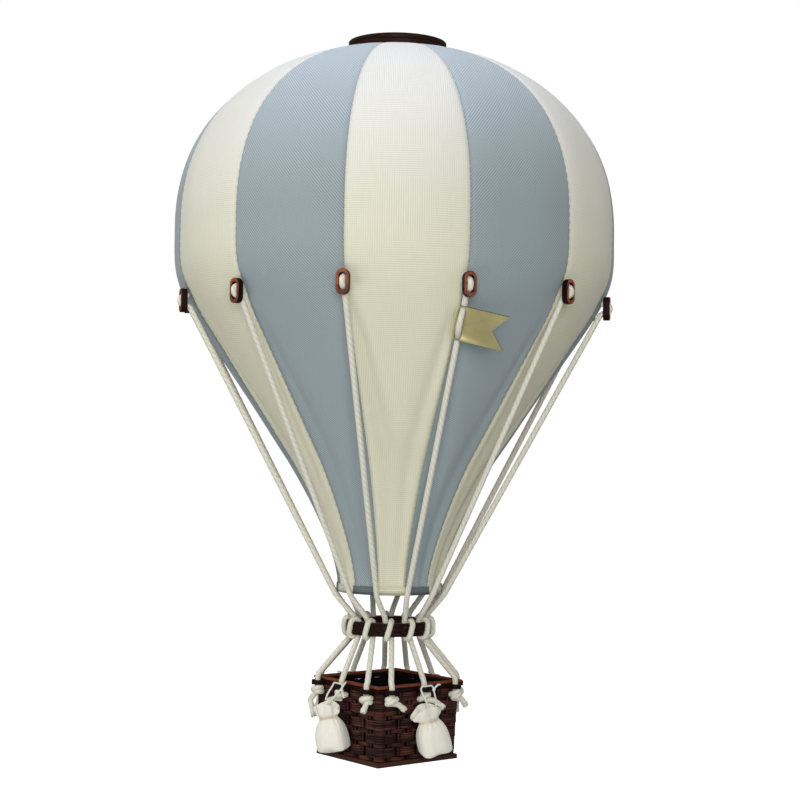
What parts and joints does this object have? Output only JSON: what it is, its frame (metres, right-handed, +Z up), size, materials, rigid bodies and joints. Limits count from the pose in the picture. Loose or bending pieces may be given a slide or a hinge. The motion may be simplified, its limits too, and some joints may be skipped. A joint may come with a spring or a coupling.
{
  "type": "hot air balloon hanging decoration",
  "caption": "Hanging hot air balloon decoration: sewn fabric envelope with a wooden crown, cord rigging, a wooden load ring and a woven basket with small bags.",
  "frame": {"origin": "middle of the crown's top face, at the hole that the hanging line goes through", "axes": "+Z up; -Y is the front, the middle of a white gore; +X is to the right seen from the front"},
  "size_m": [0.3004, 0.3004, 0.4935],
  "materials": {
    "fabric_white": "matt woven cotton",
    "fabric_blue": "matt twill cotton",
    "dark_wood": "dark stain, laser cut edges",
    "basket_weave": "dark stained woven strips",
    "cotton_cord": "braided cotton",
    "pouch_cotton": "soft plain cotton",
    "gold_tag": "satin gold"
  },
  "bodies": {
    "balloon": {"basket_floor": "dark_wood", "basket_rim": "dark_wood", "basket_wall_1": "basket_weave", "basket_wall_2": "basket_weave", "basket_wall_3": "basket_weave", "basket_wall_4": "basket_weave", "crown_base": "dark_wood", "crown_cap": "dark_wood", "ear_frame": "dark_wood", "gore_01": "fabric_white", "gore_02": "fabric_blue", "gore_03": "fabric_white", "gore_04": "fabric_blue", "gore_05": "fabric_white", "gore_06": "fabric_blue", "gore_07": "fabric_white", "gore_08": "fabric_blue", "gore_09": "fabric_white", "gore_10": "fabric_blue", "gore_11": "fabric_white", "gore_12": "fabric_blue", "load_ring_ply_1": "dark_wood", "load_ring_ply_2": "dark_wood", "load_ring_ply_3": "dark_wood", "mouth_hem": "fabric_white", "pennant_tag": "gold_tag", "stay_01": "cotton_cord", "stay_02": "cotton_cord", "stay_03": "cotton_cord", "stay_04": "cotton_cord", "stay_05": "cotton_cord", "stay_06": "cotton_cord", "stay_07": "cotton_cord", "stay_08": "cotton_cord", "stay_09": "cotton_cord", "stay_10": "cotton_cord", "stay_11": "cotton_cord", "stay_12": "cotton_cord", "toggle_01": "dark_wood", "toggle_02": "dark_wood", "toggle_03": "dark_wood", "toggle_04": "dark_wood", "toggle_05": "dark_wood", "toggle_06": "dark_wood", "toggle_07": "dark_wood", "toggle_08": "dark_wood", "toggle_09": "dark_wood", "toggle_10": "dark_wood", "toggle_11": "dark_wood", "toggle_12": "dark_wood"},
    "pouch_1": {"pouch_1": "pouch_cotton", "pouch_string_1": "pouch_cotton"},
    "pouch_2": {"pouch_2": "pouch_cotton", "pouch_string_2": "pouch_cotton"},
    "pouch_3": {"pouch_3": "pouch_cotton", "pouch_string_3": "pouch_cotton"},
    "pouch_4": {"pouch_4": "pouch_cotton", "pouch_string_4": "pouch_cotton"}
  },
  "joints": [
    {"name": "pouch_1_swing", "type": "hinge", "parent": "balloon", "child": "pouch_1", "pos_m": [0.02467, -0.03485, -0.4406], "axis": [-0.8161, -0.5779, 0], "range_deg": [0, 70]},
    {"name": "pouch_2_swing", "type": "hinge", "parent": "balloon", "child": "pouch_2", "pos_m": [0.03485, 0.02467, -0.4406], "axis": [0.5779, -0.8161, 0], "range_deg": [0, 70]},
    {"name": "pouch_3_swing", "type": "hinge", "parent": "balloon", "child": "pouch_3", "pos_m": [-0.02467, 0.03485, -0.4406], "axis": [0.8161, 0.5779, 0], "range_deg": [0, 70]},
    {"name": "pouch_4_swing", "type": "hinge", "parent": "balloon", "child": "pouch_4", "pos_m": [-0.03485, -0.02467, -0.4406], "axis": [-0.5779, 0.8161, 0], "range_deg": [0, 70]}
  ]
}
